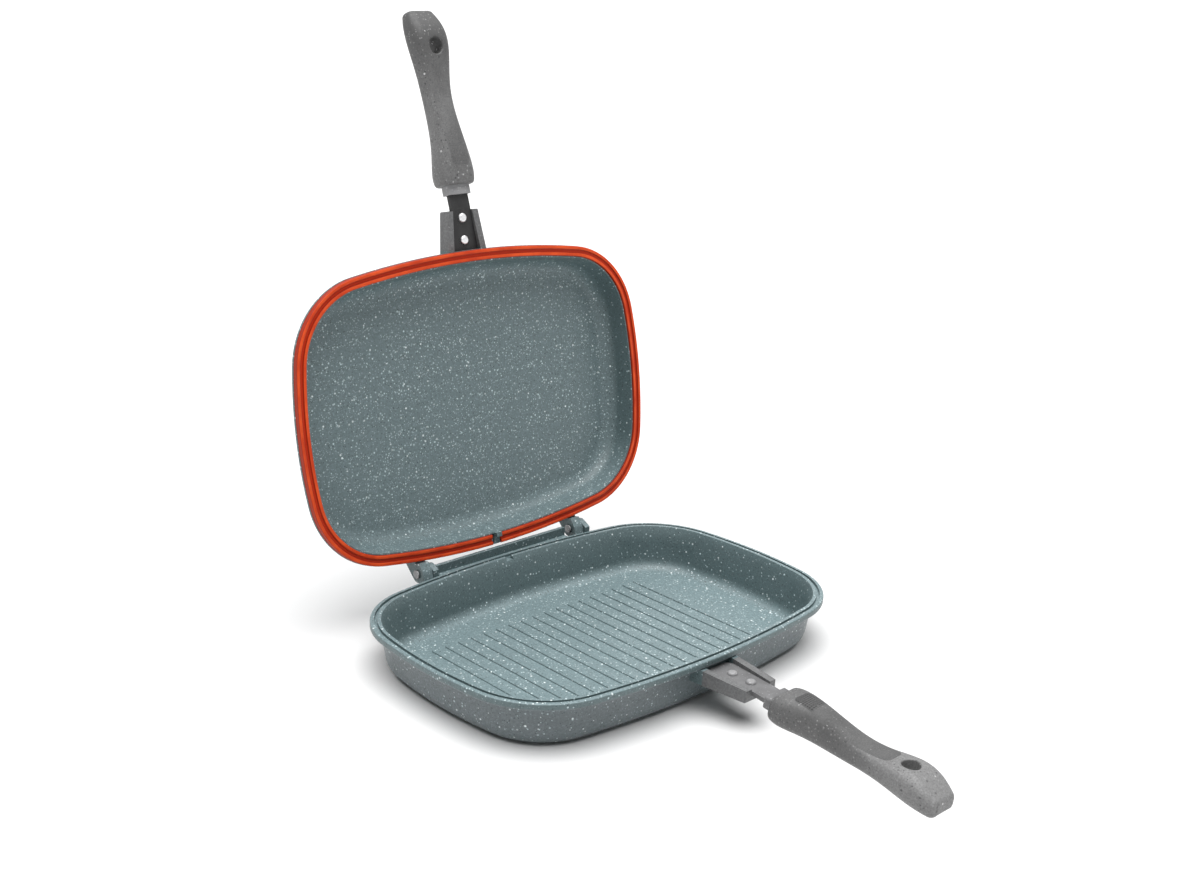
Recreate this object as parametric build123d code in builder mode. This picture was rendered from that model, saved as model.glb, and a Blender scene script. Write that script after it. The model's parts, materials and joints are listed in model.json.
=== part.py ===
"""Double sided flip pan: two cast halves joined by a hinge at the back, each with a riveted handle.

The lower half stands on its flat base with the origin at the middle of that base, X runs along the
hinge, the handle points to -Y and the upper half is swung open about the hinge at +Y.
"""

import os
from collections import namedtuple
from math import cos, radians, sin, sqrt

from build123d import *

# Rim outline, the same on both halves
RIM_LENGTH = 320  # along the hinge
RIM_DEPTH = 218.7  # from the handle side to the hinge side
FRONT_RADIUS = 693  # of the bowed long sides
END_RADIUS = 340  # of the bowed short sides
CORNER_RADIUS = 63

# The two cast halves
LOWER_DEPTH = 37  # from the rim face to the back
UPPER_DEPTH = 26
WALL = 3
FLOOR = 3.5
FLANGE = 5  # thickness of the flange that carries the rim face
FLANGE_OVERHANG = 7.5
FLANGE_ROUND = 1.2
DRAFT = 8  # degrees
LOWER_BACK_RADIUS = 13
UPPER_BACK_RADIUS = 16
FLARE = 6  # depth over which the inside widens towards the rim

# Sealing faces
LOWER_LIP_INSET = 7.6  # inner edge of the lower rim, measured from the flange edge
GROOVE_INSET = 4  # middle of the groove in the lower rim
GROOVE_WIDTH = 2.2
GROOVE_DEPTH = 2
UPPER_LIP_INSET = 9.2
SEAL_STEP_WIDTH = 8.2  # step along the upper rim that the gasket sits in, open at the flange edge
SEAL_STEP_DEPTH = 2.5
GASKET_SETBACK = 0.3  # gasket inside the flange edge
GASKET_FIT = 0.15
GASKET_REST = 0.3  # gasket crest to lower rim when shut
GASKET_BED = 0.5  # how far the gasket stands out between its two ridges
RIDGE_WIDTH = 2.7
RIDGE_ROUND = 0.8

# Key at the middle of the hinge side that lines the two halves up
KEY_WIDTH = 5
KEY_STANDS = 3.2  # above the upper rim face
KEY_CLEARANCE = 0.7
NOTCH_DEPTH = 2.4
GASKET_END_GAP = 3

# Ribs on the lower floor
RIB_COUNT = 18
RIB_PITCH = 11.55
RIB_WIDTH = 5
RIB_HEIGHT = 1
RIB_LENGTH = 133
RIB_ROUND = 0.9

# Hinge
HINGE_SETBACK = 4.8  # axis behind the rim edge
HINGE_RISE = 1.6  # axis above the lower rim face
RIM_GAP = 2  # between the two rim faces when shut
OPEN_ANGLE = 100.3
HINGE_SPACING = 147.3  # between the two upper lugs
HINGE_SHIFT = 2  # the pair of lugs stands this far to the right of the middle
UPPER_LUG = 8.6
UPPER_LUG_RADIUS = 6.5
UPPER_LUG_HEIGHT = 14  # how far the lug climbs the back of the upper half
LOWER_LUG = 4.5
LOWER_LUG_RADIUS = 5.6
LOWER_LUG_HEIGHT = 11
LUG_GAP = 0.4
LUG_ROOT = 12  # how far a lug or the bracket reaches in under the rim edge
LUG_BACK = 5.5  # how far inside the rim edge the full height of a lug ends
LUG_TOP = 1  # top of a lug's root below the rim face
PIN_DIAMETER = 4.6
PIN_FIT = 0.05  # radial, in the upper lugs
PIN_HEAD = 6.6
PIN_HEAD_HEIGHT = 1.1
TOE_RADIUS = 1.2
TOE_CLEARANCE = 0.3

# Drip trough behind the lower rim
TROUGH_WALL = 3
TROUGH_FLOOR = 2.6
TROUGH_DROP = 4.4  # underside of the trough below the rim face
TROUGH_REACH = 6.1  # outside of the trough wall behind the rim edge
TROUGH_RISE = 4.4  # top of the trough wall above the rim face
TROUGH_LEFT_GAP = 2.6  # between the left lower lug and the trough, clear of the pin's peened end
TROUGH_RIGHT_GAP = 6  # between the trough and the right upper lug

# Handle bracket cast on each half
LOWER_REACH = 36  # tip beyond the rim edge
UPPER_REACH = 28.5
BRACKET_ROOT_WIDTH = 37.5
BRACKET_TIP_WIDTH = 28
BRACKET_FIN = 5.2
BRACKET_ROOT_STANDS = 3.2  # fins above the strap at the rim edge
BRACKET_TIP_STANDS = 1.5
BRACKET_FLOOR = 4
BRACKET_ROUND = 1.5

# Steel strap that joins bracket and grip
STRAP_WIDTH = 17  # past the bracket, where it is narrowest
STRAP_THICKNESS = 3
STRAP_TUCK = 3.5  # how far its inner end reaches in under the rim edge
STRAP_CORNER = 6
STRAP_BEND_RADIUS = 12
BEND_OVERHANG = 1.8  # corner of the bend beyond the tip of the bracket
STRAP_FIT = 0.2
TANG_LENGTH = 54  # from the bend to the end inside the grip
LOWER_STRAP_DROP = 8.5  # strap face below its rim face
UPPER_STRAP_DROP = 6
LOWER_TILT = 6.2  # degrees that the grip leans away from the other one
UPPER_TILT = 10
LOWER_FIRST_RIVET = 11.4  # beyond the rim edge
UPPER_FIRST_RIVET = 7.2
RIVET_PITCH = 16
RIVET_SHANK = 4
RIVET_HEAD = 7
RIVET_DOME = 1.9
RIVET_EDGE = 0.2  # straight edge left under the dome
RIVET_TAIL = 1.2

# Ferrule between strap and grip
FERRULE_WIDTH = 20.5
FERRULE_THICKNESS = 9
FERRULE_LENGTH = 6.5
FERRULE_START = 9.5  # from the corner of the bend
FERRULE_ROUND = 2

# Grip: each section is (distance from the front end, width, thickness, lift towards the other grip)
COLLAR = (0, 29, 15.5, 0)
GUARD = (7, 30.5, 21, 0.2)
SHOULDER = (19, 27, 23.4, 1.1)
WAIST = (51, 19.8, 20.8, 0.1)
PALM = (79, 24.7, 14.4, 0.6)
HEEL = (101, 29.8, 19.2, 1.8)
TIP = (118.5, 27, 16, -1.2)
END = (126.5, 21, 12.4, -3.8)
SECTION_ROUND = 0.4  # corner radius of a section as a share of its thickness
END_ROUND = 4.6
COLLAR_ROUND = 3
HOLE_DIAMETER = 11.5
HOLE_FROM_END = 27.5
HOLE_ROUND = 1.2

# Soft panel let into the face of each grip that looks at the other one
PANEL_START = 13
PANEL_END = 88
PANEL_WIDTH = 16
PANEL_THICKNESS = 1.4
PANEL_CORNER = 4

# Screw that holds the grip on the strap
SCREW_ALONG = 24  # from the front end of the grip
SCREW_SHANK = 4
SCREW_HEAD = 8
SCREW_HEAD_HEIGHT = 3
SCREW_SEAT = 3.5  # grip material between head and strap
SCREW_PAST_STRAP = 4
SCREW_FIT = 0.05
DRIVE_LENGTH = 4.4
DRIVE_WIDTH = 1.1
DRIVE_DEPTH = 1.6

HALF_RIM = RIM_DEPTH / 2
AXIS_Y = HALF_RIM + HINGE_SETBACK
GASKET_STANDS = RIM_GAP - GASKET_REST
CAVITY_INSET = FLANGE_OVERHANG + WALL
GRIP_FRONT = FERRULE_START + FERRULE_LENGTH  # from the bend of the strap
SCREW_SPOT = (0, -GRIP_FRONT - SCREW_ALONG)
SCREW_HEAD_LEVEL = STRAP_THICKNESS / 2 + SCREW_SEAT
SCREW_REACH = STRAP_THICKNESS / 2 + SCREW_PAST_STRAP

LOWER_RIM = Plane((0, 0, LOWER_DEPTH))
SHUT_RIM = Plane((0, -AXIS_Y, RIM_GAP - HINGE_RISE), x_dir=(-1, 0, 0), z_dir=(0, 0, -1))
OPENING = Location((0, AXIS_Y, LOWER_DEPTH + HINGE_RISE), (-OPEN_ANGLE, 0, 0))
UPPER_RIM = Plane(OPENING * SHUT_RIM.location)
Half = namedtuple("Half", "rim depth back_radius lip_inset strap_drop tilt reach first_rivet")
LOWER = Half(LOWER_RIM, LOWER_DEPTH, LOWER_BACK_RADIUS, LOWER_LIP_INSET,
             LOWER_STRAP_DROP, LOWER_TILT, LOWER_REACH, LOWER_FIRST_RIVET)
UPPER = Half(UPPER_RIM, UPPER_DEPTH, UPPER_BACK_RADIUS, UPPER_LIP_INSET,
             UPPER_STRAP_DROP, UPPER_TILT, UPPER_REACH, UPPER_FIRST_RIVET)
LOWER_AXIS = (AXIS_Y, HINGE_RISE)  # hinge axis in the side view of each half
UPPER_AXIS = (AXIS_Y, RIM_GAP - HINGE_RISE)
LUG_FACES = [HINGE_SHIFT + side * HINGE_SPACING / 2 - UPPER_LUG / 2 for side in (-1, 1)]
LOWER_LUG_FACES = [face + UPPER_LUG + LUG_GAP for face in LUG_FACES]
TROUGH_START = LOWER_LUG_FACES[0] + LOWER_LUG + TROUGH_LEFT_GAP


def rim_outline(inset):
    """Rectangle with bowed sides, drawn inside the flange edge by the inset: where four discs meet."""
    front_middle, end_middle = FRONT_RADIUS - HALF_RIM, END_RADIUS - RIM_LENGTH / 2
    with BuildSketch() as outline:
        with Locations((0, front_middle)):
            Circle(FRONT_RADIUS - inset)
        with Locations((0, -front_middle)):
            Circle(FRONT_RADIUS - inset, mode=Mode.INTERSECT)
        with Locations((end_middle, 0)):
            Circle(END_RADIUS - inset, mode=Mode.INTERSECT)
        with Locations((-end_middle, 0)):
            Circle(END_RADIUS - inset, mode=Mode.INTERSECT)
        fillet(outline.vertices(), CORNER_RADIUS - inset)
    return outline.sketch


def ring(outer_inset, inner_inset):
    """Band that follows the rim between two insets."""
    with BuildSketch() as band:
        add(rim_outline(outer_inset))
        add(rim_outline(inner_inset), mode=Mode.SUBTRACT)
    return band.sketch


def side_view(rim, x):
    """Plane seen from the end of a half: its x is the half's Y, its y is the half's Z."""
    return Plane(rim.location * Plane.YZ.offset(x).location)


def inside(half):
    """Hollow of one half, with its rounded floor edge and the flare below the lip."""
    rim = half.rim
    with BuildPart() as hollow:
        with BuildSketch(rim.offset(-FLARE)):
            add(rim_outline(CAVITY_INSET))
        extrude(amount=-(half.depth - FLOOR - FLARE), taper=DRAFT)
        floor_edges = hollow.faces().sort_by(Axis(rim.origin, rim.z_dir))[0].edges()
        fillet(floor_edges, half.back_radius - WALL)
        with BuildSketch(rim.offset(-FLARE)):
            add(rim_outline(CAVITY_INSET))
        with BuildSketch(rim):
            add(rim_outline(half.lip_inset))
        loft()
    return hollow.part


def flange_edge(face, thickness):
    """Furthest point of the hinge side's edge beside a plate that starts at a face."""
    nearest = min(abs(face), abs(face + thickness))
    return HALF_RIM - FRONT_RADIUS + sqrt(FRONT_RADIUS**2 - nearest**2)


def lug(rim, face, thickness, radius, axis, height, toe=None):
    """Hinge lug: a plate that runs from the wall of a half out and round the hinge pin."""
    with BuildPart() as plate:
        with BuildSketch(side_view(rim, face)):
            with Locations(axis):
                Circle(radius)
            with Locations((HALF_RIM - LUG_ROOT, -LUG_TOP)):
                Rectangle(LUG_ROOT - LUG_BACK, height, align=(Align.MIN, Align.MAX))
            if toe:
                with Locations(toe):
                    Circle(TOE_RADIUS)
            make_hull()
            with Locations((flange_edge(face, thickness) + LUG_GAP, -LUG_TOP)):
                Rectangle(LUG_ROOT, 2 * radius, align=(Align.MAX, Align.MIN), mode=Mode.SUBTRACT)
        extrude(amount=thickness)
    return plate.part


def bracket(half):
    """Open channel for the strap: a floor and two fins that sink towards the tip."""
    rim, tip = half.rim, HALF_RIM + half.reach
    back = half.strap_drop + STRAP_THICKNESS + BRACKET_FLOOR
    root_top, tip_top = (half.strap_drop - stands for stands in (BRACKET_ROOT_STANDS, BRACKET_TIP_STANDS))
    with BuildPart() as channel:
        with BuildSketch(rim.offset(-back)):
            Polygon(*bracket_plan(half, HALF_RIM - LUG_ROOT, 0), align=None)
        extrude(amount=back - root_top)
        with BuildSketch(rim.offset(-half.strap_drop - STRAP_THICKNESS)):
            Polygon(*bracket_plan(half, HALF_RIM - STRAP_TUCK - STRAP_FIT, BRACKET_FIN), align=None)
        extrude(amount=back, mode=Mode.SUBTRACT)
        with BuildSketch(side_view(rim, 0)):
            Polygon((-HALF_RIM, -root_top), (-tip, -tip_top), (-tip - BRACKET_FIN, 0), (-HALF_RIM, 0),
                    align=None)
        extrude(amount=BRACKET_ROOT_WIDTH, both=True, mode=Mode.SUBTRACT)
        tip_face = channel.faces().sort_by(Axis(rim.origin, -rim.y_dir))[-1]
        cross_edges = tip_face.edges().filter_by(Axis(rim.origin, rim.x_dir))
        fillet(cross_edges.sort_by(Axis(rim.origin, rim.z_dir))[0], BRACKET_ROUND)
    return channel.part


def bracket_plan(half, start, inset):
    """Corners of the tapered bracket seen from above, from a start to its tip and inset at its sides."""
    root, tip = HALF_RIM - LUG_ROOT, HALF_RIM + half.reach
    narrowing = (BRACKET_ROOT_WIDTH - BRACKET_TIP_WIDTH) / (tip - root)
    tip_half = BRACKET_TIP_WIDTH / 2 - inset
    start_half = tip_half + narrowing * (tip - start) / 2
    return (-start_half, -start), (start_half, -start), (tip_half, -tip), (-tip_half, -tip)


def cast_body(half):
    """Solid outer shape of one half: flange, drafted wall and rounded back."""
    rim = half.rim
    upward = Axis(rim.origin, rim.z_dir)
    with BuildPart() as body:
        with BuildSketch(rim):
            add(rim_outline(0))
        extrude(amount=-FLANGE)
        flange_faces = body.faces().sort_by(upward)
        fillet(flange_faces[0].edges() + flange_faces[-1].edges(), FLANGE_ROUND)
        with BuildSketch(rim.offset(-FLANGE)):
            add(rim_outline(FLANGE_OVERHANG))
        extrude(amount=-(half.depth - FLANGE), taper=DRAFT)
        fillet(body.faces().sort_by(upward)[0].edges(), half.back_radius)
    return body.part


def stop_toe():
    """Middle of the toe that meets the lower flange edge when the upper half is open."""
    edge = max(flange_edge(face, UPPER_LUG) for face in LUG_FACES)
    reach = AXIS_Y - edge - TOE_RADIUS - TOE_CLEARANCE
    drop = HINGE_RISE + FLANGE / 2
    turn = radians(OPEN_ANGLE)
    return AXIS_Y - reach * cos(turn) + drop * sin(turn), UPPER_AXIS[1] + reach * sin(turn) + drop * cos(turn)


def bend_point(half):
    """Y and Z, in the half's own frame, of the corner where the strap bends past the bracket."""
    return -HALF_RIM - half.reach - BEND_OVERHANG, -half.strap_drop - STRAP_THICKNESS / 2


def handle_frame(half):
    """Plane across the handle at the bend of the strap: its z runs out along the handle."""
    outward = (0, -cos(radians(half.tilt)), -sin(radians(half.tilt)))
    return Plane(half.rim.location * Plane((0, *bend_point(half)), x_dir=(1, 0, 0), z_dir=outward).location)


def hinge_pin(face):
    """Headed pin, tight in the lower lug and free in the upper one, peened over at its far end."""
    stack = UPPER_LUG + LUG_GAP + LOWER_LUG
    with BuildPart() as pin:
        with BuildSketch(Plane.YZ.offset(face - LUG_GAP)):
            with Locations((AXIS_Y, LOWER_DEPTH + HINGE_RISE)):
                Circle(PIN_DIAMETER / 2)
        extrude(amount=LUG_GAP + stack)
        with BuildSketch(Plane.YZ.offset(face - LUG_GAP), Plane.YZ.offset(face + stack + PIN_HEAD_HEIGHT)):
            with Locations((AXIS_Y, LOWER_DEPTH + HINGE_RISE)):
                Circle(PIN_HEAD / 2)
        extrude(amount=-PIN_HEAD_HEIGHT)
        fillet(pin.edges().filter_by(GeomType.CIRCLE).group_by(Axis.X)[0], PIN_HEAD_HEIGHT / 2)
        fillet(pin.edges().filter_by(GeomType.CIRCLE).group_by(Axis.X)[-1], PIN_HEAD_HEIGHT / 2)
    return pin.part


def strap(half):
    """Flat steel strap: it fills the bracket, bends past its tip and runs into the grip."""
    rim = half.rim
    bend, middle = bend_point(half)
    tilt = radians(half.tilt)
    with BuildPart() as flat:
        with BuildSketch(rim.offset(-half.strap_drop - STRAP_THICKNESS)):
            Polygon(*bracket_plan(half, HALF_RIM - STRAP_TUCK, BRACKET_FIN + STRAP_FIT), align=None)
        extrude(amount=STRAP_THICKNESS)
        inner_end = flat.faces().sort_by(Axis(rim.origin, rim.y_dir))[-1]
        fillet(inner_end.edges().filter_by(Axis(rim.origin, rim.z_dir)), STRAP_CORNER)
        with BuildLine(side_view(rim, 0)) as route:
            FilletPolyline(
                (-HALF_RIM - half.first_rivet, middle),
                (bend, middle),
                (bend - TANG_LENGTH * cos(tilt), middle - TANG_LENGTH * sin(tilt)),
                radius=STRAP_BEND_RADIUS,
            )
        with BuildSketch(Plane(route.line @ 0, x_dir=rim.x_dir, z_dir=route.line % 0)):
            Rectangle(STRAP_WIDTH, STRAP_THICKNESS)
        sweep(path=route.line)
        rivet_holes(half, half.strap_drop, STRAP_THICKNESS)
        with BuildSketch(plan_view(handle_frame(half)).offset(-STRAP_THICKNESS)):
            with Locations(SCREW_SPOT):
                Circle(SCREW_SHANK / 2 + SCREW_FIT)
        extrude(amount=2 * STRAP_THICKNESS, mode=Mode.SUBTRACT)
    return flat.part


def rivet_spots(half):
    """Centres of the two rivets in the half's own frame."""
    return [(0, -HALF_RIM - half.first_rivet - number * RIVET_PITCH) for number in (0, 1)]


def rivet_holes(half, level, depth):
    """Holes for the two rivets, cut downwards from a level below the rim face."""
    with BuildSketch(half.rim.offset(-level)) as holes:
        with Locations(*rivet_spots(half)):
            Circle(RIVET_SHANK / 2)
    extrude(holes.sketch, amount=-depth, mode=Mode.SUBTRACT)


def rivet_pair(half):
    """Domed rivets through strap and bracket, with a flat tail behind."""
    rim, level = half.rim, half.strap_drop
    stack = STRAP_THICKNESS + BRACKET_FLOOR
    with BuildPart() as pair:
        with BuildSketch(rim.offset(-level)):
            with Locations(*rivet_spots(half)):
                Circle(RIVET_HEAD / 2)
        extrude(amount=RIVET_DOME)
        fillet(pair.faces().group_by(Axis(rim.origin, rim.z_dir))[-1].edges(), RIVET_DOME - RIVET_EDGE)
        with BuildSketch(rim.offset(-level)):
            with Locations(*rivet_spots(half)):
                Circle(RIVET_SHANK / 2)
        extrude(amount=-stack)
        with BuildSketch(rim.offset(-level - stack)):
            with Locations(*rivet_spots(half)):
                Circle(RIVET_HEAD / 2)
        extrude(amount=-RIVET_TAIL)
    return pair.part


def plan_view(handle):
    """Plane that looks at the inner face of a handle: x across it, -y out along it."""
    return Plane(handle.origin, x_dir=handle.x_dir, z_dir=handle.y_dir)


def ferrule(handle):
    """Rectangular sleeve round the strap in front of the grip."""
    with BuildPart() as sleeve:
        with BuildSketch(handle.offset(FERRULE_START)):
            RectangleRounded(FERRULE_WIDTH, FERRULE_THICKNESS, FERRULE_ROUND)
            Rectangle(STRAP_WIDTH + 2 * STRAP_FIT, STRAP_THICKNESS + 2 * STRAP_FIT, mode=Mode.SUBTRACT)
        extrude(amount=FERRULE_LENGTH)
    return sleeve.part


def grip_blank(handle):
    """Outer shape of a grip: guard bulge, waist, palm swell and drooping end."""
    along = Axis(handle.origin, handle.z_dir)
    with BuildPart() as blank:
        for distance, width, thickness, lift in (COLLAR, GUARD, SHOULDER, WAIST, PALM, HEEL, TIP, END):
            with BuildSketch(handle.offset(GRIP_FRONT + distance)):
                with Locations((0, lift)):
                    RectangleRounded(width, thickness, SECTION_ROUND * thickness)
        loft()
        fillet(blank.faces().sort_by(along)[-1].edges(), END_ROUND)
        fillet(blank.faces().sort_by(along)[0].edges(), COLLAR_ROUND)
    return blank.part


def grip_panel(handle):
    """Soft panel: a skin of the grip's own surface over part of its inner face."""
    lowered = Plane(handle.origin - PANEL_THICKNESS * handle.y_dir, handle.x_dir, handle.z_dir)
    length = PANEL_END - PANEL_START
    with BuildPart() as panel:
        with BuildSketch(plan_view(handle)):
            with Locations((0, -GRIP_FRONT - PANEL_START - length / 2)):
                RectangleRounded(PANEL_WIDTH, length, PANEL_CORNER)
        extrude(amount=SHOULDER[2])
        add(grip_blank(handle), mode=Mode.INTERSECT)
        add(grip_blank(lowered), mode=Mode.SUBTRACT)
    return panel.part


def grip(handle):
    """Moulded grip with its strap pocket, panel recess, hanging hole and sunk screw seat."""
    with BuildPart() as moulding:
        add(grip_blank(handle))
        with BuildSketch(handle.offset(GRIP_FRONT)):
            Rectangle(STRAP_WIDTH + 2 * STRAP_FIT, STRAP_THICKNESS + 2 * STRAP_FIT)
        extrude(amount=TANG_LENGTH - GRIP_FRONT + STRAP_FIT, mode=Mode.SUBTRACT)
        with BuildSketch(plan_view(handle)):
            with Locations((0, -GRIP_FRONT - END[0] + HOLE_FROM_END)):
                Circle(HOLE_DIAMETER / 2)
        extrude(amount=SHOULDER[2], both=True, mode=Mode.SUBTRACT)
        bore = moulding.faces().filter_by(GeomType.CYLINDER).sort_by(Axis(handle.origin, handle.z_dir))[-1]
        fillet(bore.edges().filter_by(GeomType.LINE, reverse=True), HOLE_ROUND)
        add(grip_panel(handle), mode=Mode.SUBTRACT)
        with BuildSketch(plan_view(handle).offset(-SCREW_HEAD_LEVEL)):
            with Locations(SCREW_SPOT):
                Circle(SCREW_HEAD / 2 + STRAP_FIT)
        extrude(amount=-SHOULDER[2], mode=Mode.SUBTRACT)
        with BuildSketch(plan_view(handle).offset(-SCREW_HEAD_LEVEL)):
            with Locations(SCREW_SPOT):
                Circle(SCREW_SHANK / 2 + SCREW_FIT)
        extrude(amount=SCREW_HEAD_LEVEL + SCREW_REACH + STRAP_FIT, mode=Mode.SUBTRACT)
    return moulding.part


def grip_screw(handle):
    """Pan-head screw from the back of the grip through the strap."""
    with BuildPart() as screw:
        with BuildSketch(plan_view(handle).offset(-SCREW_HEAD_LEVEL)):
            with Locations(SCREW_SPOT):
                Circle(SCREW_SHANK / 2)
        extrude(amount=SCREW_HEAD_LEVEL + SCREW_REACH)
        with BuildSketch(plan_view(handle).offset(-SCREW_HEAD_LEVEL)):
            with Locations(SCREW_SPOT):
                Circle(SCREW_HEAD / 2)
        extrude(amount=-SCREW_HEAD_HEIGHT)
        with BuildSketch(plan_view(handle).offset(-SCREW_HEAD_LEVEL - SCREW_HEAD_HEIGHT)):
            with Locations(SCREW_SPOT):
                Rectangle(DRIVE_LENGTH, DRIVE_WIDTH)
                Rectangle(DRIVE_WIDTH, DRIVE_LENGTH)
        extrude(amount=DRIVE_DEPTH, mode=Mode.SUBTRACT)
    return screw.part


# Lower half: lugs, drip trough, ribs, sealing groove and key notch
with BuildPart() as lower_pan:
    add(cast_body(LOWER))
    add(bracket(LOWER))
    for face in LOWER_LUG_FACES:
        add(lug(LOWER_RIM, face, LOWER_LUG, LOWER_LUG_RADIUS, LOWER_AXIS, LOWER_LUG_HEIGHT))
    with BuildSketch(side_view(LOWER_RIM, TROUGH_START)):
        with Locations((HALF_RIM - LUG_ROOT, -TROUGH_DROP)):
            Rectangle(LUG_ROOT + TROUGH_REACH, TROUGH_FLOOR, align=Align.MIN)
        with Locations((HALF_RIM + TROUGH_REACH, -TROUGH_DROP)):
            Rectangle(TROUGH_WALL, TROUGH_DROP + TROUGH_RISE, align=(Align.MAX, Align.MIN))
    extrude(amount=LUG_FACES[1] - TROUGH_RIGHT_GAP - TROUGH_START)
    add(inside(LOWER), mode=Mode.SUBTRACT)
    with BuildSketch(Plane.XY.offset(FLOOR)):
        with GridLocations(RIB_PITCH, 0, RIB_COUNT, 1):
            SlotOverall(RIB_LENGTH, RIB_WIDTH, rotation=90)
    ribs = extrude(amount=RIB_HEIGHT)
    fillet(ribs.faces().filter_by(Axis.Z).group_by(Axis.Z)[-1].edges(), RIB_ROUND)
    with BuildSketch(LOWER_RIM):
        add(ring(GROOVE_INSET - GROOVE_WIDTH / 2, GROOVE_INSET + GROOVE_WIDTH / 2))
    extrude(amount=-GROOVE_DEPTH, mode=Mode.SUBTRACT)
    with Locations((0, HALF_RIM - GROOVE_INSET, LOWER_DEPTH)):
        Box(KEY_WIDTH + 2 * KEY_CLEARANCE, LOWER_LIP_INSET, NOTCH_DEPTH,
            align=(Align.CENTER, Align.MAX, Align.MAX), mode=Mode.SUBTRACT)
    for face in LOWER_LUG_FACES:
        with BuildSketch(side_view(LOWER_RIM, face)):
            with Locations(LOWER_AXIS):
                Circle(PIN_DIAMETER / 2)
        extrude(amount=LOWER_LUG, mode=Mode.SUBTRACT)
    rivet_holes(LOWER, LOWER_STRAP_DROP + STRAP_THICKNESS, BRACKET_FLOOR)

# Upper half: lugs with the stop toe, gasket step and key
with BuildPart() as upper_pan:
    add(cast_body(UPPER))
    add(bracket(UPPER))
    for face in LUG_FACES:
        add(lug(UPPER_RIM, -face - UPPER_LUG, UPPER_LUG, UPPER_LUG_RADIUS, UPPER_AXIS,
                UPPER_LUG_HEIGHT, stop_toe()))
    add(inside(UPPER), mode=Mode.SUBTRACT)
    with BuildSketch(UPPER_RIM):
        add(ring(0, SEAL_STEP_WIDTH))
        with Locations((0, HALF_RIM)):
            Rectangle(KEY_WIDTH, 2 * CAVITY_INSET, mode=Mode.SUBTRACT)
    extrude(amount=-SEAL_STEP_DEPTH, mode=Mode.SUBTRACT)
    with BuildSketch(UPPER_RIM):
        add(ring(GROOVE_INSET + GROOVE_WIDTH / 2 + KEY_CLEARANCE, UPPER_LIP_INSET))
        with Locations((0, HALF_RIM)):
            Rectangle(KEY_WIDTH, 2 * CAVITY_INSET, mode=Mode.INTERSECT)
    extrude(amount=KEY_STANDS)
    for face in LUG_FACES:
        with BuildSketch(side_view(UPPER_RIM, -face - UPPER_LUG)):
            with Locations(UPPER_AXIS):
                Circle(PIN_DIAMETER / 2 + PIN_FIT)
        extrude(amount=UPPER_LUG, mode=Mode.SUBTRACT)
    rivet_holes(UPPER, UPPER_STRAP_DROP + STRAP_THICKNESS, BRACKET_FLOOR)

# Gasket: a bed with two ridges, open at the key
with BuildPart() as gasket:
    seat_inner = SEAL_STEP_WIDTH - GASKET_FIT
    with BuildSketch(UPPER_RIM.offset(-SEAL_STEP_DEPTH)):
        add(ring(GASKET_SETBACK, seat_inner))
    extrude(amount=SEAL_STEP_DEPTH + GASKET_BED)
    with BuildSketch(UPPER_RIM.offset(GASKET_BED)):
        add(ring(GASKET_SETBACK, GASKET_SETBACK + RIDGE_WIDTH))
        add(ring(seat_inner - RIDGE_WIDTH, seat_inner))
    extrude(amount=GASKET_STANDS - GASKET_BED)
    crests = gasket.faces().group_by(Axis(UPPER_RIM.origin, UPPER_RIM.z_dir))[-1]
    fillet(crests.edges(), RIDGE_ROUND)
    with BuildSketch(UPPER_RIM.offset(-SEAL_STEP_DEPTH)):
        with Locations((-KEY_WIDTH / 2 - GASKET_FIT, HALF_RIM)):
            Rectangle(KEY_WIDTH + GASKET_END_GAP + GASKET_FIT, 2 * CAVITY_INSET,
                      align=(Align.MIN, Align.CENTER))
    extrude(amount=SEAL_STEP_DEPTH + GASKET_STANDS, mode=Mode.SUBTRACT)

# Handles: the same set of pieces on each half
pieces = {"lower_pan": lower_pan.part, "upper_pan": upper_pan.part, "gasket": gasket.part}
pieces["left_hinge_pin"], pieces["right_hinge_pin"] = (hinge_pin(face) for face in LUG_FACES)
for prefix, half in (("lower", LOWER), ("upper", UPPER)):
    handle = handle_frame(half)
    pieces[f"{prefix}_strap"] = strap(half)
    pieces[f"{prefix}_rivets"] = rivet_pair(half)
    pieces[f"{prefix}_ferrule"] = ferrule(handle)
    pieces[f"{prefix}_grip"] = grip(handle)
    pieces[f"{prefix}_grip_panel"] = grip_panel(handle)
    pieces[f"{prefix}_grip_screw"] = grip_screw(handle)

os.makedirs("parts", exist_ok=True)
for name, piece in pieces.items():
    piece.label = name
    export_step(piece, f"parts/{name}.step")
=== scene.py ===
"""Finishes, light and camera for the double sided flip pan, round its CAD frame."""

import json
from collections import namedtuple
from math import cos, pi, radians, sin

import bmesh
import bpy
from mathutils import Matrix, Vector

# Camera
CAMERA_SPOT = (-0.72303, -0.72203, 0.49305)
CAMERA_AZIMUTH = -44.58  # degrees round the object from straight in front
CAMERA_ELEVATION = 18.53
CAMERA_ROLL = 2.77
CAMERA_LENS = 47.8  # millimetres on a 36 mm sensor

# Light
SKY_STRENGTH = 0.13  # on what it lights
SKY_BRIGHTNESS = 1.0  # as the camera and reflections see it
OVERHEAD_STRENGTH = 4.7
OVERHEAD_SPREAD = 70  # degrees
OVERHEAD_WAY = (-0.13, -0.05, 2.3)  # from the pan towards the light
FLOOR_TONE = 0.82
FLOOR_CLOUD = 0.99  # of that tone, where the floor is cloudiest
FLOOR_REACH = 30  # metres

# Pieces low over the floor that leave it white
SHADOWLESS = ("lower_strap", "lower_ferrule", "lower_grip", "lower_grip_panel", "lower_grip_screw")

# Shading of the frame parts
WELD_DISTANCE = 0.000002
CREASE_ANGLE = 32  # degrees between faces that still shade as one surface

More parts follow.
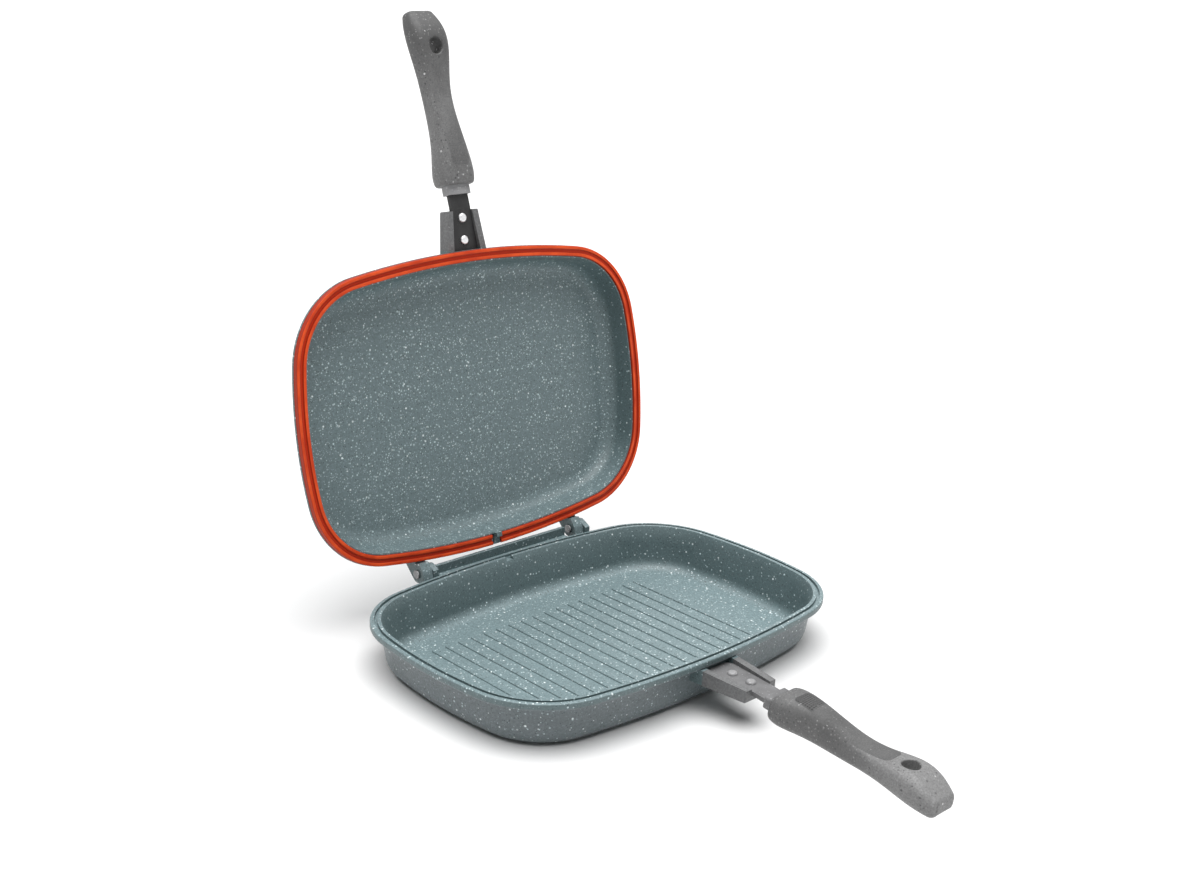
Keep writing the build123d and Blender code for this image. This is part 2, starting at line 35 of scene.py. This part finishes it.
# Where finishes change, in metres from the hinge axis
BRACKET_START = 0.2243  # out towards the handle
BRACKET_BLEND = 0.0006
GROOVE_LEVEL = 0.0002  # up out of the upper half, where the groove in the gasket ends
CREST_LEVEL = 0.0010  # where the crests of its two ridges start
GRIP_MIDDLE = 0.33  # where a grip's tone starts to change towards its tip, painted light on the lower grip and painted shade on the upper
GRIP_END = 0.38

# Ridged patch at the front of a grip's panel, in metres
RIDGE_PITCH = 0.0018
RIDGE_PATCH = 0.017
PATCH_BLEND = 0.002

# How straight a face looks up out of its half, from where a tone starts to where it is full
FLAT_FACING = (0.25, 0.95)
OUTSIDE_FACING = (-0.02, -0.10)
RIDGE_TOP_FACING = (0.5, 0.95)
HINGE_WALL_FACING = (0.2, 0.9)  # the same for how straight it looks towards the handle

# Shared effects
CLOUD_NOISE = (0.34, 0.66)  # noise where clouds start and are full
GRAIN_NOISE = (0.28, 0.72)
SPECK_CORE = 0.5  # share of a speck's radius that is fully coloured
SPECK_LEAST = 0.35  # size and strength of the least speck, as a share of the greatest

# A layer of specks: cells in a metre, share of the cells that hold one, and radius as a share of a cell
Layer = namedtuple("Layer", "cells share radius")
COATING_FLECKS = Layer(640, 0.6, 0.44)
COATING_DUST = Layer(700, 0.8, 0.42)
COATING_CHIPS = Layer(400, (0.30, 0.80), 0.38)  # its share runs from the walls to the flat faces
COATING_STONES = Layer(235, 0.62, 0.24)
GRIP_FLECKS = Layer(430, 0.6, 0.46)
GRIP_DUST = Layer(520, 0.70, 0.44)
GRIP_CHIPS = Layer(240, 0.30, 0.26)
PANEL_DUST = Layer(480, 0.5, 0.38)
STEEL_DUST = Layer(560, 0.6, 0.40)
WALL_DUST = 0.3  # strength of the coating's dust on the walls

# Colours of the coating
# The flat colour is painted lighter as light on faces that look up out of a half, and the wall colours are
# painted darker as shade; the specks laid over them are the coating's own
LIT_FLAT_COLOUR = (0.158, 0.218, 0.230)
SHADED_WALL_COLOURS = (0.103, 0.150, 0.156), (0.121, 0.173, 0.181)
OUTSIDE_COLOURS = (0.142, 0.168, 0.178), (0.168, 0.195, 0.207)
GRAIN_COLOUR = (0.062, 0.088, 0.092)
FLECK_COLOUR = (0.042, 0.060, 0.064)
DUST_COLOUR = (0.46, 0.57, 0.58)
CHIP_COLOUR = (0.60, 0.72, 0.74)
STONE_COLOUR = (0.86, 0.93, 0.93)
BRACKET_COLOURS = (0.158, 0.160, 0.162), (0.092, 0.094, 0.096)
BRACKET_DUST_COLOUR = (0.26, 0.26, 0.26)

# Colours of the gasket
SILICONE_COLOURS = (0.58, 0.046, 0.008), (0.80, 0.092, 0.018)
# Painted shade: the deeper colour in the gasket's groove and the darker colour on the sides of its ridges
GROOVE_SHADE_COLOUR = (0.50, 0.028, 0.004)
RIDGE_SIDE_SHADE_COLOUR = (0.33, 0.025, 0.006)

# Colours of the grips and their panels
GRIP_GRAIN_COLOUR = (0.055, 0.055, 0.056)
GRIP_FLECK_COLOUR = (0.060, 0.060, 0.061)
GRIP_DUST_COLOUR = (0.25, 0.25, 0.25)
GRIP_CHIP_COLOUR = (0.62, 0.62, 0.62)
PANEL_GRAIN_COLOUR = (0.050, 0.050, 0.051)
PANEL_PATCH_COLOUR = (0.040, 0.040, 0.041)
# Painted shade in the pits between the panel's ridges
PANEL_PIT_SHADE_COLOUR = (0.020, 0.020, 0.021)
PANEL_DUST_COLOUR = (0.19, 0.19, 0.19)
PANEL_TONES = (0.95, 0.88)  # of the grip's own two tones
PATCH_STRENGTH = 0.45
GRAIN_STRENGTH = 0.5

# Tones of the metals
METAL_SHARES = (1, 1, 1.01), (0.78, 0.78, 0.79)  # of a bare metal's tone, where it is brightest and dullest
COAT_BLUE = 1.02  # of the coat's tone
STEEL_DUST_TONE = 2.2  # of the coat's lighter tone
STEEL_DUST_STRENGTH = 0.6

# Roughness where the grain is least and where it is full, for the metals round their own value
COATING_ROUGHNESS = (0.34, 0.50)
SILICONE_ROUGHNESS = (0.40, 0.58)
GRIP_ROUGHNESS = (0.42, 0.60)
PANEL_ROUGHNESS = (0.55, 0.72)
METAL_ROUGHNESS = (-0.06, 0.08)
COAT_ROUGHNESS = (-0.06, 0.10)
FLOOR_ROUGHNESS = 0.9

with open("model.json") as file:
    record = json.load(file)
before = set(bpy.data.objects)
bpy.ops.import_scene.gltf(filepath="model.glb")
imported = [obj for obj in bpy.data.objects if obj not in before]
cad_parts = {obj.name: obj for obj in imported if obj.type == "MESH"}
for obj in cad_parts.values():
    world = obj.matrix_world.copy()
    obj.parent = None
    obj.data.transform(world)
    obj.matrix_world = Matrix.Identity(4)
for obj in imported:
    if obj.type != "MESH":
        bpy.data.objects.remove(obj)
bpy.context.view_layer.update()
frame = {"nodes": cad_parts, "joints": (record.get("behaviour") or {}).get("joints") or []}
nodes = frame["nodes"]
hinge = frame["joints"][0]
hinge_spot = Vector(hinge["pos_m"])
opening = Matrix.Rotation(-radians(hinge["range_deg"][1]), 3, "X")

# What differs between the halves: the ways out to the handle and up out of the half, the grip's lean in
# degrees, the strength of the coating's flat colour, higher on the lower half whose floor is painted lighter
# as light from above, of its dust there and of that colour on the hinge wall, painted light where the upper
# half's hinge wall faces up, the strength of the ridged patch, the tones of strap, painted dark as shade on
# the upper strap and lighter as light on the lower, of ferrule and grip, and the tone of the grip tip,
# painted lighter as light on the lower grip and darker as shade on the upper
Half = namedtuple("Half", "name outward up tilt flat_tone flat_dust bright_wall patch_share "
                          "strap_tones sleeve_tones grip_tones tip_tone")
LOWER = Half("lower", Vector((0, -1, 0)), Vector((0, 0, 1)), tilt=6.2,
             flat_tone=1.2, flat_dust=0.6, bright_wall=0.0, patch_share=1.0,
             strap_tones=(0.127, 0.165), sleeve_tones=(0.13, 0.18), grip_tones=(0.098, 0.142), tip_tone=0.23)
UPPER = Half("upper", opening @ Vector((0, -1, 0)), opening @ Vector((0, 0, -1)), tilt=10,
             flat_tone=1.0, flat_dust=1.0, bright_wall=1.0, patch_share=0.12,
             strap_tones=(0.016, 0.026), sleeve_tones=(0.27, 0.34), grip_tones=(0.148, 0.220), tip_tone=0.085)


def place_camera():
    """Camera with its own roll, aimed by azimuth and elevation."""
    data = bpy.data.cameras.new("camera")
    data.lens = CAMERA_LENS
    camera = bpy.data.objects.new("camera", data)
    bpy.context.scene.collection.objects.link(camera)
    turn = (
        Matrix.Rotation(radians(CAMERA_AZIMUTH), 4, "Z")
        @ Matrix.Rotation(radians(90 - CAMERA_ELEVATION), 4, "X")
        @ Matrix.Rotation(radians(CAMERA_ROLL), 4, "Z")
    )
    camera.matrix_world = Matrix.Translation(CAMERA_SPOT) @ turn
    bpy.context.scene.camera = camera


class Wiring:
    """Short calls for the nodes and links of one shader tree."""

    def __init__(self, tree):
        self.tree = tree

    def node(self, kind, **settings):
        new = self.tree.nodes.new(kind)
        for key, value in settings.items():
            setattr(new, key, value)
        return new

    def feed(self, source, target):
        """Gives a socket another socket's value, a number, or a colour or vector of three."""
        if isinstance(source, bpy.types.NodeSocket):
            self.tree.links.new(source, target)
        elif target.type == "RGBA":
            target.default_value = (*source, 1)
        else:
            target.default_value = source

    def math(self, operation, *values):
        new = self.node("ShaderNodeMath", operation=operation)
        for value, socket in zip(values, new.inputs):
            self.feed(value, socket)
        return new.outputs[0]

    def spread(self, value, low, high, to_low=0.0, to_high=1.0, smooth=False):
        """Maps a value onto a new range and keeps it there."""
        new = self.node("ShaderNodeMapRange", interpolation_type="SMOOTHSTEP" if smooth else "LINEAR")
        for key, number in zip(("Value", "From Min", "From Max", "To Min", "To Max"),
                               (value, low, high, to_low, to_high)):
            self.feed(number, new.inputs[key])
        return new.outputs["Result"]

    def between(self, share, low, high):
        """Runs from one number to another as a share goes from 0 to 1."""
        return self.spread(share, 0, 1, low, high)

    def scaled(self, value, strength):
        return self.math("MULTIPLY", value, strength)

    def mix(self, share, first, second):
        """Mixes two colours by a share."""
        new = self.node("ShaderNodeMix", data_type="RGBA")
        for value, socket in zip((share, first, second), (new.inputs[0], new.inputs[6], new.inputs[7])):
            self.feed(value, socket)
        return new.outputs[2]

    def wave(self, distance, pitch):
        """Rises and falls between 0 and 1 once every pitch."""
        turn = self.scaled(distance, 2 * pi / pitch)
        return self.spread(self.math("SINE", turn), -1, 1)

    def noise(self, vector, scale, detail):
        texture = self.node("ShaderNodeTexNoise")
        for key, value in (("Vector", vector), ("Scale", scale), ("Detail", detail)):
            self.feed(value, texture.inputs[key])
        return texture.outputs["Fac"]


class Effect(Wiring):
    """A node group that materials share: its inputs are a vector and named numbers."""

    def __init__(self, name, outputs, **inputs):
        super().__init__(bpy.data.node_groups.new(name, "ShaderNodeTree"))
        face = self.tree.interface
        face.new_socket("Vector", in_out="INPUT", socket_type="NodeSocketVector")
        for key, value in inputs.items():
            face.new_socket(key, in_out="INPUT", socket_type="NodeSocketFloat").default_value = value
        for key in outputs:
            face.new_socket(key, in_out="OUTPUT", socket_type="NodeSocketFloat")
        self.inputs = self.node("NodeGroupInput").outputs
        self.outputs = self.node("NodeGroupOutput").inputs


class Recipe(Wiring):
    """A new material round its own Principled shader."""

    def __init__(self, name, **values):
        self.material = bpy.data.materials.new(name)
        self.material.use_nodes = True
        super().__init__(self.material.node_tree)
        self.shader = self.tree.nodes["Principled BSDF"]
        places = self.node("ShaderNodeTexCoord").outputs
        self.coordinates, self.facing = places["Object"], places["Normal"]
        for key, value in values.items():
            self.feed(value, self.shader.inputs[key.replace("_", " ")])

    def effect(self, shared, **values):
        """Places a shared effect with its own values and gives its outputs."""
        new = self.node("ShaderNodeGroup", node_tree=shared.tree)
        self.feed(self.coordinates, new.inputs["Vector"])
        for key, value in values.items():
            self.feed(value, new.inputs[key])
        return new.outputs

    def vectors(self, operation, output, *values):
        new = self.node("ShaderNodeVectorMath", operation=operation)
        for value, socket in zip(values, new.inputs):
            self.feed(value, socket)
        return new.outputs[output]

    def specks(self, layer, share=None):
        """Mask of one layer of specks, whose share may be another socket."""
        share = layer.share if share is None else share
        return self.effect(SPECKLE, Scale=layer.cells, Share=share, Radius=layer.radius)["Specks"]

    def looking(self, direction):
        """How straight the surface looks a way, from -1 to 1."""
        return self.vectors("DOT_PRODUCT", "Value", self.facing, direction)

    def along(self, direction):
        """Distance from the hinge axis along a direction, in metres."""
        offset = self.vectors("SUBTRACT", "Vector", self.coordinates, hinge_spot)
        return self.vectors("DOT_PRODUCT", "Value", offset, direction)

    def layers(self, colour, *masks):
        """Lays coloured masks over a colour, one after another."""
        for mask, tone in masks:
            colour = self.mix(mask, colour, tone)
        return colour

    def bump(self, height, distance, strength, under=None):
        new = self.node("ShaderNodeBump")
        for key, value in (("Distance", distance), ("Strength", strength), ("Height", height)):
            self.feed(value, new.inputs[key])
        if under:
            self.feed(under, new.inputs["Normal"])
        return new.outputs["Normal"]

    def finish(self, colour, roughness, normal):
        for key, source in (("Base Color", colour), ("Roughness", roughness), ("Normal", normal)):
            self.feed(source, self.shader.inputs[key])
        return self.material


def speckle_effect():
    """Round specks of mixed size and strength scattered through space."""
    effect = Effect("stone_speckle", ["Specks"], Scale=300, Share=0.3, Radius=0.3)
    cells = effect.node("ShaderNodeTexVoronoi")
    effect.feed(effect.inputs["Vector"], cells.inputs["Vector"])
    effect.feed(effect.inputs["Scale"], cells.inputs["Scale"])
    tone = effect.node("ShaderNodeSeparateColor")
    effect.feed(cells.outputs["Color"], tone.inputs["Color"])
    chosen = effect.math("LESS_THAN", tone.outputs["Red"], effect.inputs["Share"])
    size = effect.between(tone.outputs["Green"], SPECK_LEAST, 1)
    reach = effect.scaled(size, effect.inputs["Radius"])
    disc = effect.spread(effect.math("DIVIDE", cells.outputs["Distance"], reach), 1, SPECK_CORE, smooth=True)
    strength = effect.between(tone.outputs["Blue"], SPECK_LEAST, 1)
    specks = effect.scaled(effect.scaled(disc, strength), chosen)
    effect.feed(specks, effect.outputs["Specks"])
    return effect


def grain_effect():
    """Broad clouds and a fine grain over the same surface."""
    effect = Effect("surface_grain", ["Clouds", "Grain"], Cloud_Scale=20, Grain_Scale=1000)
    vector = effect.inputs["Vector"]
    clouds = effect.noise(vector, effect.inputs["Cloud_Scale"], detail=4)
    grain = effect.noise(vector, effect.inputs["Grain_Scale"], detail=3)
    effect.feed(effect.spread(clouds, *CLOUD_NOISE), effect.outputs["Clouds"])
    effect.feed(effect.spread(grain, *GRAIN_NOISE), effect.outputs["Grain"])
    return effect


def ragged_step_effect():
    """Uneven mask that rises where a distance passes from one value to another."""
    effect = Effect("ragged_step_band", ["Mask"], Distance=0, Start=0, End=1, Raggedness=0.0005, Patch_Scale=300)
    patches = effect.noise(effect.inputs["Vector"], effect.inputs["Patch_Scale"], detail=3)
    shift = effect.scaled(effect.math("SUBTRACT", patches, 0.5), effect.inputs["Raggedness"])
    moved = effect.math("ADD", effect.inputs["Distance"], shift)
    effect.feed(effect.spread(moved, effect.inputs["Start"], effect.inputs["End"]), effect.outputs["Mask"])
    return effect


SPECKLE, GRAIN, RAGGED_STEP = speckle_effect(), grain_effect(), ragged_step_effect()


def grey(tone, blue=1.0):
    """A grey of one tone, whose blue may be a little over it."""
    return tone, tone, tone * blue


def stone_coating(half):
    """Grey-green non-stick coating, thick with light specks on flat faces and plain grey on the bracket, its
    flat faces painted lighter as light from above and its walls darker as painted shade.
    """
    recipe = Recipe(f"stone_coating_{half.name}", Specular_IOR_Level=0.5)
    clouds, grain = recipe.effect(GRAIN, Cloud_Scale=16, Grain_Scale=620)
    facing = recipe.looking(half.up)
    hinge_wall = recipe.spread(recipe.looking(half.outward), *HINGE_WALL_FACING, smooth=True)
    # Faces looking up out of the half, and on the upper half its hinge wall, take the flat colour painted
    # lighter as light; the rest keeps the wall colour painted darker as shade. The same mask thickens the
    # coating's own specks on the flats
    flat = recipe.math("MAXIMUM", recipe.spread(facing, *FLAT_FACING, smooth=True),
                       recipe.scaled(hinge_wall, half.bright_wall))
    dust = recipe.scaled(recipe.specks(COATING_DUST), recipe.between(flat, WALL_DUST, half.flat_dust))
    chips = recipe.specks(COATING_CHIPS, recipe.between(flat, *COATING_CHIPS.share))
    large = recipe.specks(COATING_STONES)
    stone = recipe.layers(recipe.mix(clouds, *SHADED_WALL_COLOURS),
                          (flat, [half.flat_tone * value for value in LIT_FLAT_COLOUR]),
                          (recipe.spread(facing, *OUTSIDE_FACING), recipe.mix(clouds, *OUTSIDE_COLOURS)),
                          (recipe.scaled(grain, GRAIN_STRENGTH), GRAIN_COLOUR),
                          (recipe.specks(COATING_FLECKS), FLECK_COLOUR),
                          (dust, DUST_COLOUR), (chips, CHIP_COLOUR), (large, STONE_COLOUR))
    plain = recipe.layers(recipe.mix(grain, *BRACKET_COLOURS), (dust, BRACKET_DUST_COLOUR))
    bracket = recipe.effect(RAGGED_STEP, Distance=recipe.along(half.outward), Start=BRACKET_START,
                            End=BRACKET_START + BRACKET_BLEND, Raggedness=0.0004)["Mask"]
    normal = recipe.bump(grain, distance=0.00010, strength=0.45)
    normal = recipe.bump(recipe.math("MAXIMUM", chips, large), distance=0.00008, strength=0.5, under=normal)
    return recipe.finish(recipe.mix(bracket, stone, plain), recipe.between(grain, *COATING_ROUGHNESS), normal)


def gasket_silicone():
    """Orange-red seal, painted deeper and darker in the groove between its ridges and darker round their
    sides, both as shade.
    """
    recipe = Recipe("gasket_silicone", Specular_IOR_Level=0.2)
    clouds, grain = recipe.effect(GRAIN, Cloud_Scale=70, Grain_Scale=1500)
    crest = recipe.effect(RAGGED_STEP, Distance=recipe.along(UPPER.up), Start=GROOVE_LEVEL,
                          End=CREST_LEVEL, Raggedness=0.0002)["Mask"]
    top = recipe.spread(recipe.looking(UPPER.up), *RIDGE_TOP_FACING, smooth=True)
    # Painted shade: the groove takes a deeper colour, and the ridges' sides, where they do not look up, take
    # a darker one
    colour = recipe.mix(crest, GROOVE_SHADE_COLOUR, recipe.mix(clouds, *SILICONE_COLOURS))
    colour = recipe.mix(top, RIDGE_SIDE_SHADE_COLOUR, colour)
    return recipe.finish(colour, recipe.between(grain, *SILICONE_ROUGHNESS),
                         recipe.bump(grain, distance=0.00005, strength=0.5))


def grip_plastic(half):
    """Neutral grey moulded plastic with light specks and a spark-eroded grain, its tip painted lighter as
    light on the lower grip and darker as shade on the upper one.
    """
    recipe = Recipe(f"grip_plastic_{half.name}", Specular_IOR_Level=0.4)
    clouds, grain = recipe.effect(GRAIN, Cloud_Scale=42, Grain_Scale=900)
    # Towards its tip the grip's tone changes: painted light on the lower grip, painted shade on the upper
    tip_light_and_shade = recipe.spread(recipe.along(half.outward), GRIP_MIDDLE, GRIP_END, smooth=True)
    deep, light = half.grip_tones
    colour = recipe.layers(recipe.mix(clouds, grey(deep), grey(light)),
                           (tip_light_and_shade, grey(half.tip_tone)),
                           (recipe.scaled(grain, GRAIN_STRENGTH), GRIP_GRAIN_COLOUR),
                           (recipe.specks(GRIP_FLECKS), GRIP_FLECK_COLOUR),
                           (recipe.specks(GRIP_DUST), GRIP_DUST_COLOUR),
                           (recipe.specks(GRIP_CHIPS), GRIP_CHIP_COLOUR))
    return recipe.finish(colour, recipe.between(grain, *GRIP_ROUGHNESS),
                         recipe.bump(grain, distance=0.00012, strength=0.6))


def panel_rubber(half):
    """Soft inlay in the grip's own grey, finely ridged at its front, with painted shade in the pits between
    the ridges.
    """
    recipe = Recipe(f"panel_rubber_{half.name}", Specular_IOR_Level=0.3)
    reach = half.outward * cos(radians(half.tilt)) - half.up * sin(radians(half.tilt))
    points = [vertex.co - hinge_spot for vertex in nodes[f"{half.name}_grip_panel"].data.vertices]
    patch_end = min(point.dot(reach) for point in points) + RIDGE_PATCH
    distance = recipe.along(reach)
    clouds, grain = recipe.effect(GRAIN, Cloud_Scale=60, Grain_Scale=1100)
    patch = recipe.effect(RAGGED_STEP, Distance=distance, Start=patch_end, End=patch_end - PATCH_BLEND)["Mask"]
    patch = recipe.scaled(patch, half.patch_share)
    across = recipe.along(Vector((1, 0, 0)))
    # The ridge mask is full in the pits, which the colour below darkens as painted shade
    ridges = recipe.scaled(recipe.wave(distance, RIDGE_PITCH), recipe.wave(across, RIDGE_PITCH))
    ridges = recipe.scaled(ridges, patch)
    deep, light = (share * tone for share, tone in zip(PANEL_TONES, half.grip_tones))
    colour = recipe.layers(recipe.mix(clouds, grey(deep), grey(light)),
                           (recipe.scaled(grain, GRAIN_STRENGTH), PANEL_GRAIN_COLOUR),
                           (recipe.scaled(patch, PATCH_STRENGTH), PANEL_PATCH_COLOUR),
                           (ridges, PANEL_PIT_SHADE_COLOUR), (recipe.specks(PANEL_DUST), PANEL_DUST_COLOUR))
    normal = recipe.bump(recipe.math("SUBTRACT", 1.0, ridges), distance=0.0004, strength=0.8)
    normal = recipe.bump(grain, distance=0.00010, strength=0.6, under=normal)
    return recipe.finish(colour, recipe.between(grain, *PANEL_ROUGHNESS), normal)


def bright_metal(name, tone, rough):
    """Bare metal with a patchy tone and small scratches."""
    recipe = Recipe(name, Metallic=1.0)
    clouds, grain = recipe.effect(GRAIN, Cloud_Scale=150, Grain_Scale=1600)
    colour = recipe.mix(clouds, *([tone * share for share in shares] for shares in METAL_SHARES))
    return recipe.finish(colour, recipe.between(grain, *(rough + step for step in METAL_ROUGHNESS)),
                         recipe.bump(grain, distance=0.00004, strength=0.5))


def coated_steel(name, deep, light, rough):
    """Flat steel under a grey coat with fine specks, rubbed a little."""
    recipe = Recipe(name, Specular_IOR_Level=0.35)
    clouds, grain = recipe.effect(GRAIN, Cloud_Scale=110, Grain_Scale=1200)
    dust = recipe.scaled(recipe.specks(STEEL_DUST), STEEL_DUST_STRENGTH)
    colour = recipe.layers(recipe.mix(clouds, grey(deep, COAT_BLUE), grey(light, COAT_BLUE)),
                           (dust, grey(light * STEEL_DUST_TONE)))
    return recipe.finish(colour, recipe.between(grain, *(rough + step for step in COAT_ROUGHNESS)),
                         recipe.bump(grain, distance=0.00006, strength=0.5))


def smooth_shading(piece):
    """Joins the loose triangles of a frame part and rounds its shading except at real corners."""
    piece.data.shade_smooth()
    weld = piece.modifiers.new("weld", "WELD")
    weld.merge_threshold = WELD_DISTANCE
    split = piece.modifiers.new("corners", "EDGE_SPLIT")
    split.split_angle = radians(CREASE_ANGLE)
    split.use_edge_sharp = False


def dress_frame():
    """Gives every frame part its finish."""
    steel = bright_metal("pin_steel", tone=0.30, rough=0.46)
    finishes = {
        "gasket": gasket_silicone(), "left_hinge_pin": steel, "right_hinge_pin": steel,
        "lower_rivets": coated_steel("rivet_coat", deep=0.24, light=0.30, rough=0.30),
        "upper_rivets": bright_metal("rivet_metal", tone=0.86, rough=0.28),
    }
    for half in (LOWER, UPPER):
        side = half.name
        finishes.update({
            f"{side}_pan": stone_coating(half),
            # The upper strap's tones are painted dark as shade in the bracket's channel, and the lower
            # strap's are lighter as lit from above
            f"{side}_strap": coated_steel(f"strap_steel_{side}", *half.strap_tones, rough=0.45),
            f"{side}_ferrule": coated_steel(f"sleeve_steel_{side}", *half.sleeve_tones, rough=0.42),
            f"{side}_grip": grip_plastic(half),
            f"{side}_grip_panel": panel_rubber(half),
            f"{side}_grip_screw": steel,
        })
    for name, finish in finishes.items():
        piece = nodes[name]
        piece.data.materials.clear()
        piece.data.materials.append(finish)
        piece.visible_shadow = name not in SHADOWLESS
        smooth_shading(piece)


def white_floor():
    """Plain matte floor that runs past the horizon of every view."""
    mesh = bpy.data.meshes.new("floor")
    shape = bmesh.new()
    bmesh.ops.create_grid(shape, x_segments=1, y_segments=1, size=FLOOR_REACH)
    shape.to_mesh(mesh)
    shape.free()
    floor = bpy.data.objects.new("floor", mesh)
    bpy.context.scene.collection.objects.link(floor)
    recipe = Recipe("floor_white", Specular_IOR_Level=0.1)
    clouds, grain = recipe.effect(GRAIN, Cloud_Scale=6, Grain_Scale=900)
    tone = recipe.mix(clouds, grey(FLOOR_TONE), grey(FLOOR_TONE * FLOOR_CLOUD))
    normal = recipe.bump(grain, distance=0.00005, strength=0.2)
    mesh.materials.append(recipe.finish(tone, FLOOR_ROUGHNESS, normal))


def studio_light():
    """Even white surroundings and one broad light from above."""
    world = bpy.data.worlds.new("studio")
    world.use_nodes = True
    wiring = Wiring(world.node_tree)
    sky = world.node_tree.nodes["Background"]
    path = wiring.node("ShaderNodeLightPath")
    seen = wiring.math("MAXIMUM", path.outputs["Is Camera Ray"], path.outputs["Is Glossy Ray"])
    wiring.feed(wiring.between(seen, SKY_STRENGTH, SKY_BRIGHTNESS), sky.inputs["Strength"])
    wiring.feed((1, 1, 1), sky.inputs["Color"])
    bpy.context.scene.world = world
    overhead = bpy.data.lights.new("overhead", "SUN")
    overhead.energy, overhead.angle = OVERHEAD_STRENGTH, radians(OVERHEAD_SPREAD)
    lamp = bpy.data.objects.new("overhead", overhead)
    lamp.rotation_euler = Vector(OVERHEAD_WAY).to_track_quat("Z", "Y").to_euler()
    bpy.context.scene.collection.objects.link(lamp)
    bpy.context.scene.view_settings.view_transform = "Standard"


place_camera()
dress_frame()
white_floor()
studio_light()
